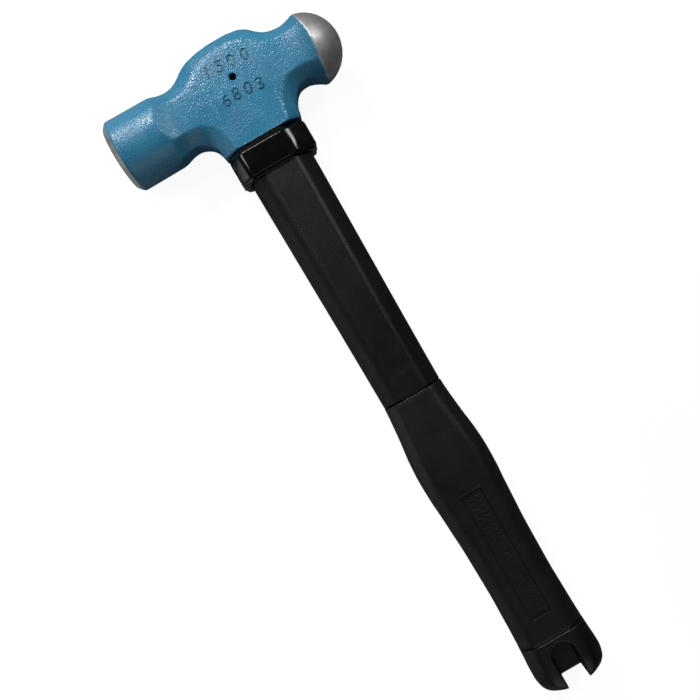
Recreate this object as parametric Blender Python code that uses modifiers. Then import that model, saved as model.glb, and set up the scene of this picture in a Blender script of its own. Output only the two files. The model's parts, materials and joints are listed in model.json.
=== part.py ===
"""Ball peen hammer, lying on its side.

Metres, +Z up. +X runs along the handle from the head to the butt, the striking face looks along -Y and
the ball along +Y. The origin is under the middle of the hammer's box, on the plane that the round poll
stands on, so the hammer's middle plane is one poll radius up.

The forged head has an eye. Four steel rods run from a lock plate on top of the eye down to a plate in
the butt. The handle is moulded round them in three lengths: sleeve, grip and butt cap.
"""

import math

import bmesh
import bpy
from mathutils import Matrix, Vector

MM = 0.001
GAP = 0.3 * MM

# Driving sizes
OVERALL_LENGTH = 332.4 * MM
HEAD_LENGTH = 115.9 * MM
POLL_RADIUS = 17.5 * MM
POLL_BACK_RADIUS = 17.2 * MM
BALL_RADIUS = 17.1 * MM
MID_Z = POLL_RADIUS

# Head, measured from the crossing of the head axis and the handle axis
HEAD_TOP = 23.8 * MM
SKIRT_END = 25.4 * MM
SKIRT_HALF_WIDTH = 19.4 * MM
CHEEK_HALF = 12.9 * MM
FACE_Y = -62.7 * MM
BALL_POLE_Y = FACE_Y + HEAD_LENGTH
BALL_CENTRE_Y = BALL_POLE_Y - BALL_RADIUS
HEAD_X = -OVERALL_LENGTH / 2 + HEAD_TOP
AXIS_Y = -(FACE_Y + BALL_POLE_Y) / 2
BALL_TIP_RADIUS = 0.4 * MM
FACE_CROWN_RADIUS = 85.5 * MM
FACE_FLAT_RADIUS = 3.8 * MM
FACE_EDGE_RADIUS = 14.8 * MM
FACE_CHAMFER_LENGTH = 2.5 * MM

# Eye and what fills it
EYE_WIDTH = 26 * MM
EYE_THICKNESS = 14.2 * MM
PLATE_WIDTH = 28.4 * MM
PLATE_THICKNESS = 16 * MM
PLATE_HEIGHT = 3 * MM
PLATE_SEAT = -18.6 * MM
PIN_HOLE_RADIUS = 1.8 * MM
PIN_RADIUS = PIN_HOLE_RADIUS - GAP
PIN_X = -3.4 * MM
PIN_Y = 1.3 * MM
PIN_RECESS = 2.4 * MM

# Steel core
ROD_RADIUS = 2.1 * MM
ROD_HEAD_RADIUS = 2.9 * MM
ROD_HEAD_HEIGHT = 1.2 * MM
ROD_Y = 6.1 * MM
ROD_Z = 3.2 * MM
ROD_END_X = 139.7 * MM
SPACER_WIDTH = 20 * MM
SPACER_THICKNESS = 12 * MM
SPACER_LENGTH = 4 * MM

# Handle, as places along the hammer
COLLAR_START = HEAD_X + SKIRT_END + GAP
COLLAR_END = -101.5 * MM
COLLAR_HALF_WIDTH = 19.3 * MM
COLLAR_HALF_THICKNESS = 13.5 * MM
SEAM_SLEEVE = 16.7 * MM
SEAM_BUTT = 141.6 * MM
BUTT_POCKET_DEPTH = 9.5 * MM
SLOT_WIDTH = 10.8 * MM
SLOT_START = 144.4 * MM
WEB_END = 161.2 * MM
WEB_HALF = 2.5 * MM
PANEL_START = 66.5 * MM
PANEL_END = 130 * MM
PANEL_WIDTH = 10 * MM
PANEL_DEPTH = 0.7 * MM

CIRCLE_STEPS = 48
ROD_STEPS = 16
CORNER_STEPS = 3


# --- scene, materials and small helpers -------------------------------------------------------------

def clear_scene():
    for obj in list(bpy.data.objects):
        bpy.data.objects.remove(obj, do_unlink=True)


def new_collection(name):
    collection = bpy.data.collections.new(name)
    bpy.context.scene.collection.children.link(collection)
    return collection


def make_material(name, colour, roughness, metallic=0.0):
    material = bpy.data.materials.new(name)
    material.use_nodes = True
    shader = material.node_tree.nodes["Principled BSDF"]
    shader.inputs["Base Color"].default_value = (*colour, 1.0)
    shader.inputs["Roughness"].default_value = roughness
    shader.inputs["Metallic"].default_value = metallic
    material.diffuse_color = (*colour, 1.0)
    return material


def add_object(name, mesh, collection, material=None):
    obj = bpy.data.objects.new(name, mesh)
    collection.objects.link(obj)
    if material:
        mesh.materials.append(material)
        mesh.shade_smooth()
        mesh.set_sharp_from_angle(angle=math.radians(30))
    return obj


def add_cutter(name, mesh):
    cutter = add_object(name, mesh, CUTTERS)
    cutter.hide_render = True
    cutter.display_type = "WIRE"
    return cutter


def cut(obj, cutter, operation="DIFFERENCE"):
    boolean = obj.modifiers.new(cutter.name, "BOOLEAN")
    boolean.operation = operation
    boolean.solver = "EXACT"
    boolean.object = cutter


def spline(points, at):
    """Height at one place of a smooth curve through (place, height) points, flat beyond its ends."""
    if at <= points[0][0]:
        return points[0][1]
    if at >= points[-1][0]:
        return points[-1][1]
    index = max(i for i, point in enumerate(points) if point[0] <= at)
    (x0, y0), (x1, y1) = points[index], points[index + 1]

    def slope(i):
        if i == 0 or i == len(points) - 1:
            return 0.0
        left = (points[i][1] - points[i - 1][1]) / (points[i][0] - points[i - 1][0])
        right = (points[i + 1][1] - points[i][1]) / (points[i + 1][0] - points[i][0])
        return 0.0 if left * right <= 0 else 2 * left * right / (left + right)

    step = x1 - x0
    t = (at - x0) / step
    rise = (3 - 2 * t) * t * t
    return (
        y0 * (1 - rise) + y1 * rise
        + step * slope(index) * t * (1 - t) ** 2
        - step * slope(index + 1) * t * t * (1 - t)
    )


def in_mm(points):
    return [(place * MM, height * MM) for place, height in points]


def loft(rings):
    """A closed mesh over rings of equal length, capped at both ends."""
    mesh = bpy.data.meshes.new("loft")
    work = bmesh.new()
    loops = [[work.verts.new(point) for point in ring] for ring in rings]
    count = len(loops[0])
    for one, two in zip(loops, loops[1:]):
        for i in range(count):
            work.faces.new((one[i], one[(i + 1) % count], two[(i + 1) % count], two[i]))
    work.faces.new(list(reversed(loops[0])))
    work.faces.new(loops[-1])
    bmesh.ops.recalc_face_normals(work, faces=work.faces)
    work.to_mesh(mesh)
    work.free()
    return mesh


def rounded_octagon(half_width, half_thickness, bevel, radius):
    """(y, z) points round a rectangle whose corners are cut by `bevel` and then rounded."""
    corners = []
    for sy, sz in ((1, 1), (-1, 1), (-1, -1), (1, -1)):
        side = Vector((sy * half_width, sz * (half_thickness - bevel)))
        front = Vector((sy * (half_width - bevel), sz * half_thickness))
        corners += [side, front] if sy * sz > 0 else [front, side]
    points = []
    for i, corner in enumerate(corners):
        before = (corners[i - 1] - corner).normalized()
        after = (corners[(i + 1) % 8] - corner).normalized()
        half_angle = before.angle(after) / 2
        centre = corner + (before + after).normalized() * radius / math.sin(half_angle)
        start = corner + before * radius / math.tan(half_angle) - centre
        turn = math.pi - 2 * half_angle
        for k in range(CORNER_STEPS):
            angle = turn * k / (CORNER_STEPS - 1)
            points.append(centre + Matrix.Rotation(angle, 2) @ start)
    return points


def handle_ring(x, section):
    """A (y, z) section placed across the handle's axis."""
    return [(x, AXIS_Y + y, MID_Z + z) for y, z in section]


def handle_body(stations):
    """A loft over (x, half_width, half_thickness, bevel, radius) stations along the handle."""
    return loft([handle_ring(x, rounded_octagon(*shape)) for x, *shape in stations])


def block(x_start, x_end, width, thickness, bevel=2.8 * MM, radius=1.1 * MM, y=0.0, z=0.0):
    """A straight bar along the handle with cut, rounded corners, set off the handle's axis by y and z."""
    section = rounded_octagon(width / 2, thickness / 2, bevel, radius)
    shifted = [(point[0] + y, point[1] + z) for point in section]
    return loft([handle_ring(x_start, shifted), handle_ring(x_end, shifted)])


def round_bar(start, end, radius, steps):
    """A closed cylinder between two points."""
    axis = Vector(end) - Vector(start)
    mesh = bpy.data.meshes.new("round_bar")
    work = bmesh.new()
    bmesh.ops.create_cone(
        work, cap_ends=True, segments=steps, radius1=radius, radius2=radius, depth=axis.length
    )
    turn = axis.to_track_quat("Z", "Y").to_matrix().to_4x4()
    middle = (Vector(start) + Vector(end)) / 2
    bmesh.ops.transform(work, matrix=Matrix.Translation(middle) @ turn, verts=work.verts)
    work.to_mesh(mesh)
    work.free()
    return mesh


def rod_places():
    return [(sy * ROD_Y, sz * ROD_Z) for sy in (1, -1) for sz in (1, -1)]


def rod_hole_cutter(name, x_start, x_end):
    """Four bars, a gap wider than the rods, joined in one cutter."""
    work = bmesh.new()
    for y, z in rod_places():
        bar = round_bar(
            (x_start, AXIS_Y + y, MID_Z + z), (x_end, AXIS_Y + y, MID_Z + z), ROD_RADIUS + GAP, ROD_STEPS
        )
        work.from_mesh(bar)
    mesh = bpy.data.meshes.new(name)
    work.to_mesh(mesh)
    work.free()
    return add_cutter(name, mesh)


# --- head -------------------------------------------------------------------------------------------

# Half sizes of the forging along the head axis (place from the handle axis, size), in millimetres
TOP_OUTLINE = in_mm([
    (-46.5, 20.4), (-40.4, 17.4), (-36.1, 16.1), (-32, 15), (-28.9, 14.9), (-24.7, 15.7), (-21.1, 17.7),
    (-17.9, 20.1), (-13.3, 22.2), (-6.8, 23.5), (1.1, 23.8), (6, 23.8), (13.3, 22.9), (17.6, 21.1),
    (20.9, 18.2), (25.6, 15.7), (30.9, 14.9), (35.1, 15.4), (39.9, 16.6), (45.6, 19.5),
])
SKIRT_OUTLINE = in_mm([
    (-46.5, 19.9), (-40.4, 17.4), (-36.7, 16.1), (-32, 14.9), (-28.9, 14.5), (-25.6, 15.3), (-22.4, 17.3),
    (-20.5, 20.5), (-19.4, 25.4), (19.4, 25.4), (20.3, 21.7), (21.8, 18.1), (23.8, 15.1), (26.8, 13.3),
    (30.5, 12.9), (33.2, 13.5), (36.6, 14.8), (39.9, 16.6), (45.6, 19.5),
])
TOP_FRONT_EDGE = in_mm([
    (-46.5, 12.2), (-39.9, 10.1), (-34.2, 8.7), (-28.5, 8.1), (-22.8, 7.9), (-17.6, 10.3), (-12.6, 13.4),
    (-5.7, 16.5), (1.1, 17.7), (7.6, 17.4), (13.3, 16), (18, 13.4), (22.5, 9.9), (28.5, 8.7), (35.1, 8.9),
    (39.9, 9.9), (45.6, 12),
])
SKIRT_FRONT_EDGE = in_mm([
    (-46.5, 11.8), (-39.9, 9.7), (-34.2, 8.3), (-28.5, 7.6), (-23.8, 7.8), (-20.4, 8.9), (-17, 11.4),
    (-15, 14.2), (-13.5, 19.4), (-12.3, 25), (12.5, 25), (13.7, 20.5), (15, 16.7), (17.1, 12.6),
    (21, 8.5), (24.7, 7.4), (30.4, 7.2), (36.1, 8.4), (39.9, 9.5), (45.6, 11.6),
])
CHEEK_OUTLINE = in_mm([
    (-46.5, 20.1), (-40.4, 17.3), (-36.1, 15.3), (-31.3, 13.6), (-25.6, 12.9), (24.7, 12.9), (29.4, 12.9),
    (34.2, 13.9), (39.9, 16.3), (45.6, 19.4),
])
TOP_SIDE_HALF = in_mm([
    (-46.5, 10.4), (-39.9, 8.7), (-34.2, 7.6), (-26.6, 7.2), (-19, 7.8), (-9.5, 8.8), (11.4, 8.8), (19, 7.8),
    (26.6, 6.9), (34.2, 7.1), (39.9, 8.4), (45.6, 10.1),
])
SKIRT_SIDE_SHARE = 0.49
SKIRT_SIDE_HALF = in_mm([(-19.4, 6.4), (-12.3, 12.5), (12.5, 12.5), (19.4, 6.4)])
HEAD_STATIONS = [
    -64.6, -46.5, -43.7, -41.8, -39.9, -38, -36.1, -34.2, -32.3, -30.4, -28.5, -26.6, -24.7, -23.3, -21.8,
    -20.9, -20.1, -19.4, -18.1, -17, -16, -15, -14.2, -13.5, -12.3, -9.5, -5.7, -1.9, 1.1, 5.7, 9.5, 12.5,
    13.7, 14.3, 15, 16.1, 17.1, 18.2, 19.4, 19.9, 20.7, 21.8, 23.2, 24.7, 26.6, 28.5, 30.4, 32.3, 34.2,
    36.1, 38, 39.9, 41.8, 43.7, 45.6, 55.1,
]


def head_ring(y):
    """The eight-cornered section of the forging at one place along the head axis."""
    top, skirt = spline(TOP_OUTLINE, y), spline(SKIRT_OUTLINE, y)
    top_front, skirt_front = spline(TOP_FRONT_EDGE, y), spline(SKIRT_FRONT_EDGE, y)
    cheek = spline(CHEEK_OUTLINE, y)
    top_side = spline(TOP_SIDE_HALF, y)
    skirt_side = cheek * SKIRT_SIDE_SHARE
    if abs(y) <= SKIRT_HALF_WIDTH:
        skirt_side = spline(SKIRT_SIDE_HALF, y)
    corners = [
        (skirt, skirt_side), (skirt_front, cheek), (-top_front, cheek), (-top, top_side),
        (-top, -top_side), (-top_front, -cheek), (skirt_front, -cheek), (skirt, -skirt_side),
    ]
    return [(HEAD_X + x, AXIS_Y + y, MID_Z + z) for x, z in corners]


def turned_envelope():
    """The round outline of poll and ball, turned about the head axis and wide open between them."""
    wide = 38 * MM
    poll_back, ball_back = -31.8 * MM, 32.1 * MM
    profile = []
    for k in range(7):
        radius = FACE_FLAT_RADIUS + (FACE_EDGE_RADIUS - FACE_FLAT_RADIUS) * k / 6
        crown = (radius**2 - FACE_FLAT_RADIUS**2) / (2 * FACE_CROWN_RADIUS)
        profile.append((radius, FACE_Y + crown))
    chamfer_end = profile[-1][1] + FACE_CHAMFER_LENGTH
    profile += [(POLL_RADIUS, chamfer_end), (POLL_BACK_RADIUS, poll_back)]
    profile += [(wide, poll_back), (wide, ball_back)]
    start = math.acos((ball_back - BALL_CENTRE_Y) / BALL_RADIUS)
    for k in range(15):
        angle = start * (1 - k / 15)
        profile.append((BALL_RADIUS * math.sin(angle), BALL_CENTRE_Y + BALL_RADIUS * math.cos(angle)))
    profile.append((BALL_TIP_RADIUS, BALL_POLE_Y))
    turn = [2 * math.pi * i / CIRCLE_STEPS for i in range(CIRCLE_STEPS)]
    rings = []
    for radius, y in profile:
        rings.append([
            (HEAD_X + radius * math.cos(a), AXIS_Y + y, MID_Z + radius * math.sin(a)) for a in turn
        ])
    return loft(rings)


def eye_cutter():
    """The eye through the head with a wider seat for the lock plate at the top."""
    eye = block(HEAD_X + PLATE_SEAT, HEAD_X + SKIRT_END + 2 * MM, EYE_WIDTH, EYE_THICKNESS)
    seat = block(HEAD_X - HEAD_TOP - 2 * MM, HEAD_X + PLATE_SEAT, PLATE_WIDTH, PLATE_THICKNESS)
    return add_cutter("eye_cutter", eye), add_cutter("plate_seat_cutter", seat)


def pin_hole_cutter():
    x, y = HEAD_X + PIN_X, AXIS_Y + PIN_Y
    reach = CHEEK_HALF + 5 * MM
    mesh = round_bar((x, y, MID_Z - reach), (x, y, MID_Z + reach), PIN_HOLE_RADIUS, ROD_STEPS)
    return add_cutter("pin_hole_cutter", mesh)


def make_head():
    head = add_object("head", loft([head_ring(y * MM) for y in HEAD_STATIONS]), PARTS, PAINTED_STEEL)
    cut(head, add_cutter("turned_envelope", turned_envelope()), "INTERSECT")
    for cutter in (*eye_cutter(), PIN_HOLE):
        cut(head, cutter)


def make_eye_fittings():
    plate_start = HEAD_X + PLATE_SEAT - PLATE_HEIGHT - GAP
    plate = block(plate_start, plate_start + PLATE_HEIGHT, PLATE_WIDTH - 2 * GAP, PLATE_THICKNESS - 2 * GAP)
    lock_plate = add_object("head_lock_plate", plate, PARTS, BARE_STEEL)
    filler = block(
        HEAD_X + PLATE_SEAT, HEAD_X + SKIRT_END, EYE_WIDTH - 2 * GAP, EYE_THICKNESS - 2 * GAP,
        2.8 * MM - GAP, 1 * MM,
    )
    eye_filler = add_object("eye_filler", filler, PARTS, MOULDED_BLACK)
    holes = rod_hole_cutter("head_rod_holes", plate_start - 5 * MM, HEAD_X + SKIRT_END + 5 * MM)
    cut(lock_plate, holes)
    cut(eye_filler, holes)
    cut(eye_filler, PIN_HOLE)
    x, y = HEAD_X + PIN_X, AXIS_Y + PIN_Y
    reach = CHEEK_HALF - PIN_RECESS
    pin = round_bar((x, y, MID_Z - reach), (x, y, MID_Z + reach), PIN_RADIUS, ROD_STEPS)
    add_object("cross_pin", pin, PARTS, BARE_STEEL)


# --- steel core -------------------------------------------------------------------------------------

def make_rod(name, y, z):
    """A rod with a flat upset head, turned about its own axis by a Screw modifier."""
    head_start = HEAD_X + PLATE_SEAT - PLATE_HEIGHT - 2 * GAP - ROD_HEAD_HEIGHT
    profile = [
        (0.0, ROD_END_X), (ROD_RADIUS, ROD_END_X), (ROD_RADIUS, head_start + ROD_HEAD_HEIGHT),
        (ROD_HEAD_RADIUS, head_start + ROD_HEAD_HEIGHT), (ROD_HEAD_RADIUS, head_start), (0.0, head_start),
    ]
    mesh = bpy.data.meshes.new(name)
    edges = [(i, i + 1) for i in range(len(profile) - 1)]
    mesh.from_pydata([(radius, 0.0, height) for radius, height in profile], edges, [])
    rod = add_object(name, mesh, PARTS, BARE_STEEL)
    rod.location = (0.0, AXIS_Y + y, MID_Z + z)
    rod.rotation_euler = (0.0, math.radians(90), 0.0)
    screw = rod.modifiers.new("turn", "SCREW")
    screw.steps = ROD_STEPS
    screw.render_steps = ROD_STEPS
    screw.use_merge_vertices = True
    screw.merge_threshold = 0.00005


def make_spacer(name, x_start):
    mesh = block(x_start, x_start + SPACER_LENGTH, SPACER_WIDTH, SPACER_THICKNESS)
    spacer = add_object(name, mesh, PARTS, MOULDED_BLACK)
    cut(spacer, rod_hole_cutter(name + "_holes", x_start - 5 * MM, x_start + SPACER_LENGTH + 5 * MM))


def pocket_cutter(name, x_start, x_end):
    """The room for a spacer, a gap larger than the spacer all round."""
    return add_cutter(name, block(x_start, x_end, SPACER_WIDTH + 2 * GAP, SPACER_THICKNESS + 2 * GAP))


def make_core():
    for number, (y, z) in enumerate(rod_places(), start=1):
        make_rod(f"core_rod_{number}", y, z)
    make_spacer("core_spacer_head", SLEEVE_START + GAP)
    make_spacer("core_spacer_middle", SEAM_SLEEVE - GAP - SPACER_LENGTH)
    make_spacer("core_spacer_butt", SEAM_BUTT - BUTT_POCKET_DEPTH + GAP)


# --- handle -----------------------------------------------------------------------------------------

SLEEVE_START = COLLAR_START
SLEEVE_HALF_WIDTH = in_mm([
    (-118.8, 15.6), (-100.7, 15.6), (-66.5, 15.2), (-42.8, 14.9), (-19.9, 14.6), (17.1, 14.3),
])
SLEEVE_HALF_THICKNESS = 11.9 * MM
SLEEVE_BEVEL = 7.2 * MM
GRIP_HALF_WIDTH = in_mm([
    (16.7, 14.4), (20.9, 14.6), (25.6, 15), (34.8, 15.9), (43.7, 17), (53.2, 17.5), (62.7, 17.3),
    (71.2, 16.7), (80.8, 16.2), (90.2, 15.7), (99.8, 15.5), (114.9, 15.3), (126.3, 15.5), (135.8, 15.7),
    (144.4, 16.1), (155.8, 16.7),
])
GRIP_HALF_THICKNESS = in_mm([
    (16.7, 12.2), (25.6, 12.3), (53.2, 13), (80.8, 12.4), (114, 12), (135.8, 12.2), (155.8, 12.6),
])
BUTT_END = in_mm([
    (155.8, 0), (159.1, 0.5), (161.5, 1.3), (163.4, 2.7), (164.8, 4.6), (165.8, 6.6), (166.2, 8.9),
])


def make_collar():
    bevel, radius = 5.6 * MM, 1.7 * MM
    full = (COLLAR_HALF_WIDTH, COLLAR_HALF_THICKNESS, bevel, radius)
    top = (COLLAR_HALF_WIDTH - 0.6 * MM, COLLAR_HALF_THICKNESS - 0.8 * MM, bevel, radius)
    lip = (COLLAR_HALF_WIDTH - 1.1 * MM, COLLAR_HALF_THICKNESS - 0.8 * MM, bevel, radius)
    stations = [
        (COLLAR_START + GAP, *top), (COLLAR_START + 3.5 * MM, *full), (COLLAR_END - 1.2 * MM, *full),
        (COLLAR_END, *lip),
    ]
    collar = add_object("collar", handle_body(stations), PARTS, GLOSS_BLACK)
    bore_half_width = spline(SLEEVE_HALF_WIDTH, COLLAR_START) + GAP
    inner = (bore_half_width, SLEEVE_HALF_THICKNESS + GAP, SLEEVE_BEVEL, 1.9 * MM)
    reach = 3 * MM
    hole = handle_body([(COLLAR_START - reach, *inner), (COLLAR_END + reach, *inner)])
    cut(collar, add_cutter("collar_bore", hole))


def make_sleeve():
    end = SEAM_SLEEVE - GAP
    stations = [
        (x, spline(SLEEVE_HALF_WIDTH, x), SLEEVE_HALF_THICKNESS, SLEEVE_BEVEL, 1.9 * MM)
        for x in (SLEEVE_START, COLLAR_END, -80 * MM, -57 * MM, -33 * MM, -10 * MM, end - 1 * MM)
    ]
    last = spline(SLEEVE_HALF_WIDTH, end)
    stations.append((end, last - 0.6 * MM, SLEEVE_HALF_THICKNESS - 0.6 * MM, SLEEVE_BEVEL, 1.9 * MM))
    sleeve = add_object("handle_sleeve", handle_body(stations), PARTS, MOULDED_BLACK)
    reach = 5 * MM
    cut(sleeve, pocket_cutter("pocket_head", SLEEVE_START - reach, SLEEVE_START + SPACER_LENGTH + 2 * GAP))
    cut(sleeve, pocket_cutter("pocket_middle", end - SPACER_LENGTH - GAP, end + reach))
    cut(sleeve, rod_hole_cutter("sleeve_rod_holes", SLEEVE_START - reach, end + reach))


def grip_station(x):
    return (x, spline(GRIP_HALF_WIDTH, x), spline(GRIP_HALF_THICKNESS, x), 5.9 * MM, 4 * MM)


def make_grip():
    end = SEAM_BUTT - GAP
    places = [16.7, 21, 25.6, 30, 35, 39, 43.5, 48, 53, 58, 63, 71, 81, 90, 100, 115, 126, 136]
    stations = [grip_station(x * MM) for x in places] + [grip_station(end)]
    grip = add_object("grip", handle_body(stations), PARTS, MOULDED_BLACK)
    floor = spline(GRIP_HALF_THICKNESS, 114 * MM) - PANEL_DEPTH
    for side in (1, -1):
        panel = block(
            PANEL_START, PANEL_END, PANEL_WIDTH, 4 * MM, 0.6 * MM, 0.2 * MM, 0.0, side * (floor + 2 * MM)
        )
        cut(grip, add_cutter(f"panel_{'front' if side > 0 else 'back'}", panel))
    reach = 5 * MM
    cut(grip, pocket_cutter("pocket_butt", SEAM_BUTT - BUTT_POCKET_DEPTH, SEAM_BUTT + reach))
    cut(grip, rod_hole_cutter("grip_rod_holes", SEAM_SLEEVE - reach, SEAM_BUTT + reach))


def slot_outline(z_start, z_end, x_end):
    """A slot open at the butt, with a round end towards the head."""
    half = SLOT_WIDTH / 2
    steps = 10
    centre = SLOT_START + half
    outline = [(x_end, half)]
    for k in range(steps + 1):
        angle = math.pi / 2 + math.pi * k / steps
        outline.append((centre + half * math.cos(angle), half * math.sin(angle)))
    outline.append((x_end, -half))
    return loft([[(x, AXIS_Y + y, MID_Z + z) for x, y in outline] for z in (z_start, z_end)])


def make_butt_cap():
    stations = [(SEAM_BUTT, *grip_station(SEAM_BUTT)[1:]), grip_station(148.2 * MM)]
    for x, inset in BUTT_END:
        _, half_width, half_thickness, bevel, radius = grip_station(155.8 * MM)
        share = inset / BUTT_END[-1][1]
        stations.append(
            (x, half_width - inset, half_thickness - 0.62 * inset, bevel - 2.3 * MM * share, radius)
        )
    cap = add_object("butt_cap", handle_body(stations), PARTS, MOULDED_BLACK)
    reach = 20 * MM
    x_end = OVERALL_LENGTH / 2 + 5 * MM
    cut(cap, add_cutter("slot_front", slot_outline(WEB_HALF, reach, x_end)))
    cut(cap, add_cutter("slot_back", slot_outline(-reach, -WEB_HALF, x_end)))
    notch = block(WEB_END, x_end, SLOT_WIDTH, 8 * MM, 0.2 * MM, 0.05 * MM)
    cut(cap, add_cutter("slot_through", notch))
    spigot = block(ROD_END_X + GAP, SEAM_BUTT + 2 * MM, SPACER_WIDTH, SPACER_THICKNESS)
    cut(cap, add_cutter("butt_spigot", spigot), "UNION")


clear_scene()
PARTS = new_collection("ball_peen_hammer")
CUTTERS = new_collection("cutters")
PAINTED_STEEL = make_material("blue_painted_steel", (0.055, 0.21, 0.36), 0.38)
BARE_STEEL = make_material("bare_steel", (0.42, 0.42, 0.43), 0.3, 1.0)
GLOSS_BLACK = make_material("gloss_black", (0.006, 0.006, 0.007), 0.15)
MOULDED_BLACK = make_material("moulded_black", (0.012, 0.012, 0.013), 0.5)
PIN_HOLE = pin_hole_cutter()

make_head()
make_eye_fittings()
make_core()
make_collar()
make_sleeve()
make_grip()
make_butt_cap()
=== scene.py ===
import json
import math

import bmesh
import bpy
import numpy as np
from mathutils import Matrix, Vector
from mathutils.bvhtree import BVHTree


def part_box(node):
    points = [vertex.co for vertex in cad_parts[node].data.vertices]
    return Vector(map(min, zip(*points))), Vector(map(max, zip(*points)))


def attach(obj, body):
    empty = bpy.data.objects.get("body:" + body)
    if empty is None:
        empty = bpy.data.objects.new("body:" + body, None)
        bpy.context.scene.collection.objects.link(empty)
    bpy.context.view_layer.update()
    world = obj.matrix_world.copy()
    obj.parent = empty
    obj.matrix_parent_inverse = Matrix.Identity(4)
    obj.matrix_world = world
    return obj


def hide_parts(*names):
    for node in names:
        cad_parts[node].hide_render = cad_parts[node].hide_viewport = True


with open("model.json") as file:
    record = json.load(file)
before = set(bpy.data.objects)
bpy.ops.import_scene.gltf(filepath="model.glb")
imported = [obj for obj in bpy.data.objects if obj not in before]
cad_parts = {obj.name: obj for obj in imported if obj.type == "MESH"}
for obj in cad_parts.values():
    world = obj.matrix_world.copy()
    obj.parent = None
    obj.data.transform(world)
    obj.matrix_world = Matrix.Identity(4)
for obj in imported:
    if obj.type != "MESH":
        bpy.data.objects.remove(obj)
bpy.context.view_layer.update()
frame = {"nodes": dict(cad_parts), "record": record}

bl_info = {
    "name": "Ball Peen Hammer",
    "version": (1, 0, 0),
    "blender": (4, 5, 0),
    "location": "3D View > Sidebar > Hammer",
    "description": "Models a ball peen hammer with a forged head and a moulded handle",
    "category": "Add Mesh",
}

MM = 0.001

# --- places taken from the frame ----------------------------------------------------------------------

head_low, head_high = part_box("head")
collar_low, collar_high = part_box("collar")
sleeve_low, sleeve_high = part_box("handle_sleeve")
grip_low, grip_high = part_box("grip")
_, butt_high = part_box("butt_cap")
plate_low, plate_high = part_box("head_lock_plate")
pin_low, pin_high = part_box("cross_pin")
mounts = {mount["name"]: mount for mount in frame["record"]["mounts"]}
web_end = mounts["butt_slot_web"]["pos_m"][0]

MID_Z = (head_low.z + head_high.z) / 2
POLL_RADIUS = (head_high.z - head_low.z) / 2
AXIS_Y = (sleeve_low.y + sleeve_high.y) / 2
FACE_Y = head_low.y - AXIS_Y
BALL_POLE_Y = head_high.y - AXIS_Y
SKIRT_END = 25.4 * MM
HEAD_X = head_high.x - SKIRT_END
PIN_CENTRE = (pin_low + pin_high) / 2

# --- outlines of the forging along the head axis: (place from the handle axis, half size) -------------

def in_mm(points):
    return [(place * MM, height * MM) for place, height in points]


TOP_OUTLINE = in_mm([
    (-46.5, 20.4), (-40.4, 17.4), (-36.1, 15.9), (-32, 14.7), (-28.9, 14.4), (-24.7, 15.1), (-21.1, 16.9),
    (-17.9, 19.1), (-13.3, 21.2), (-6.8, 22.7), (1.1, 23.3), (6, 23.3), (13.3, 22.3), (17.6, 20.4),
    (20.9, 17.5), (25.6, 15.1), (30.9, 14.4), (35.1, 15.1), (39.9, 16.7), (45.6, 19.5),
])
SKIRT_OUTLINE = in_mm([
    (-46.5, 19.9), (-40.4, 17), (-36.7, 15.5), (-32, 14.2), (-28.9, 13.9), (-25.6, 14.8), (-22.4, 16.9),
    (-20.5, 20.3), (-19.4, 25.4), (19.4, 25.4), (20.3, 21.3), (21.8, 17.4), (23.8, 14.4), (26.8, 12.5),
    (30.5, 12.2), (33.2, 12.9), (36.6, 14.5), (39.9, 16.6), (45.6, 19.5),
])
TOP_FRONT_EDGE = in_mm([
    (-46.5, 12.2), (-39.9, 10.1), (-34.2, 8.7), (-28.5, 8.1), (-22.8, 7.9), (-17.6, 10.3), (-12.6, 13.4),
    (-5.7, 16.5), (1.1, 17.7), (7.6, 17.4), (13.3, 16), (18, 13.4), (22.5, 9.9), (28.5, 8.7), (35.1, 8.9),
    (39.9, 9.9), (45.6, 12),
])
SKIRT_FRONT_EDGE = in_mm([
    (-46.5, 11.8), (-39.9, 9.7), (-34.2, 8.3), (-28.5, 7.6), (-23.8, 7.8), (-20.4, 8.9), (-17, 11.4),
    (-15, 14.2), (-13.5, 19.4), (-12.3, 25), (12.5, 25), (13.7, 20.5), (15, 16.7), (17.1, 12.6),
    (21, 8.5), (24.7, 7.4), (30.4, 7.2), (36.1, 8.4), (39.9, 9.5), (45.6, 11.6),
])
CHEEK_OUTLINE = in_mm([
    (-46.5, 20.1), (-40.4, 17.3), (-36.1, 15.3), (-31.3, 13.4), (-25.6, 12.6), (-14, 12.4), (14, 12.4),
    (24.7, 12.5), (29.4, 12.5), (34.2, 13.1), (37.5, 14), (40.4, 15.4), (42.5, 17.2), (45.6, 20.2),
])
TOP_SIDE_HALF = in_mm([
    (-46.5, 10.4), (-39.9, 8.7), (-34.2, 7.6), (-26.6, 7.2), (-19, 7.8), (-9.5, 8.8), (11.4, 8.8), (19, 7.8),
    (26.6, 6.9), (34.2, 7.1), (39.9, 8.4), (45.6, 10.1),
])
SKIRT_SIDE_SHARE = 0.49
SKIRT_SIDE_HALF = in_mm([(-19.4, 6.4), (-12.3, 12.5), (12.5, 12.5), (19.4, 6.4)])
SKIRT_HALF_WIDTH = 19.4 * MM

# --- outlines of the handle along the hammer: (place, half size) --------------------------------------

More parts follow.
